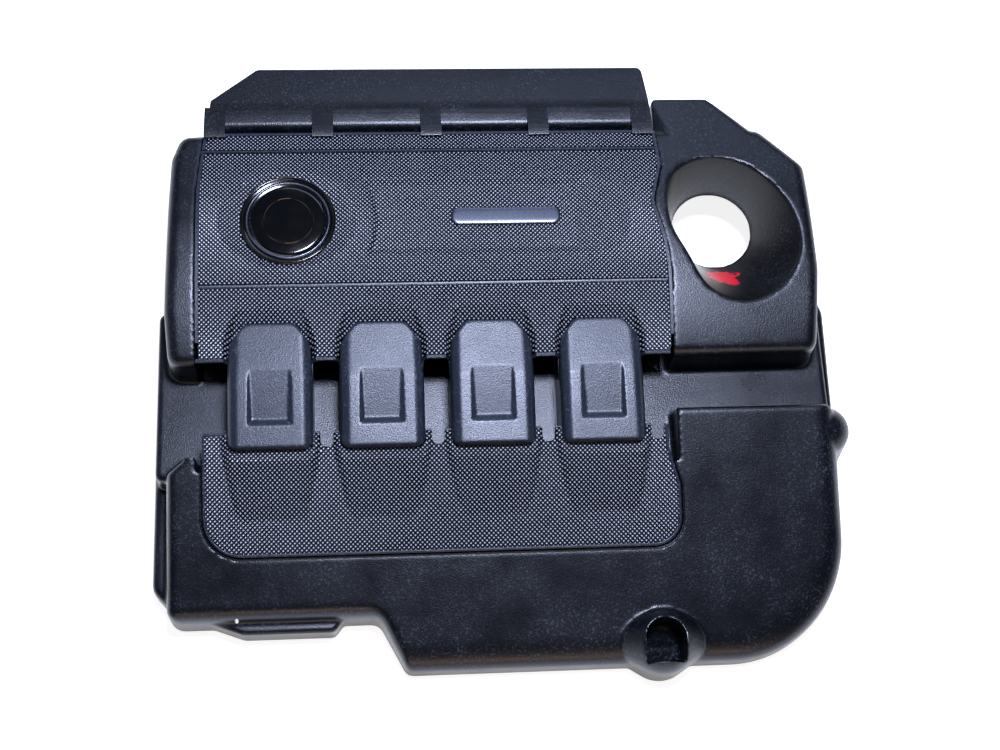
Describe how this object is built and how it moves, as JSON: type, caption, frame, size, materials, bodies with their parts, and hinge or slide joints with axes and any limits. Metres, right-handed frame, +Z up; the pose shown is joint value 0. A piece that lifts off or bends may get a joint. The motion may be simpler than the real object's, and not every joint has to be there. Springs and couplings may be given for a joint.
{
  "type": "engine cover",
  "caption": "Moulded top cover for a transverse engine, with a crowned trim panel, runner domes, an oil-filler bowl and a rear flap.",
  "frame": {"origin": "centre of the cover's plan, at the height of the lowest rim of the skirt", "axes": "+X to the right and +Y to the rear as the cover is seen from the front of the car; +Z up, out of the engine"},
  "size_m": [0.554, 0.504, 0.1007],
  "materials": {
    "body_plastic": "fine moulded grain, satin black",
    "trim_plastic": "moulded pyramid grain with smooth rims, satin black",
    "gloss_black": "polished black",
    "satin_chrome": "satin chrome plating",
    "foam": "open-cell acoustic foam, charcoal",
    "rubber": "moulded rubber, matt",
    "zinc_steel": "zinc-plated spring steel"
  },
  "bodies": {
    "root": {"body_shell": "body_plastic", "trim_panel": "trim_plastic", "rear_flap": "body_plastic", "badge_bezel": "gloss_black", "badge_disc": "gloss_black", "name_bar": "satin_chrome", "foam_pad_rear": "foam", "foam_pad_front": "foam", "mount_grommets": "rubber", "push_nuts": "zinc_steel"}
  },
  "joints": []
}
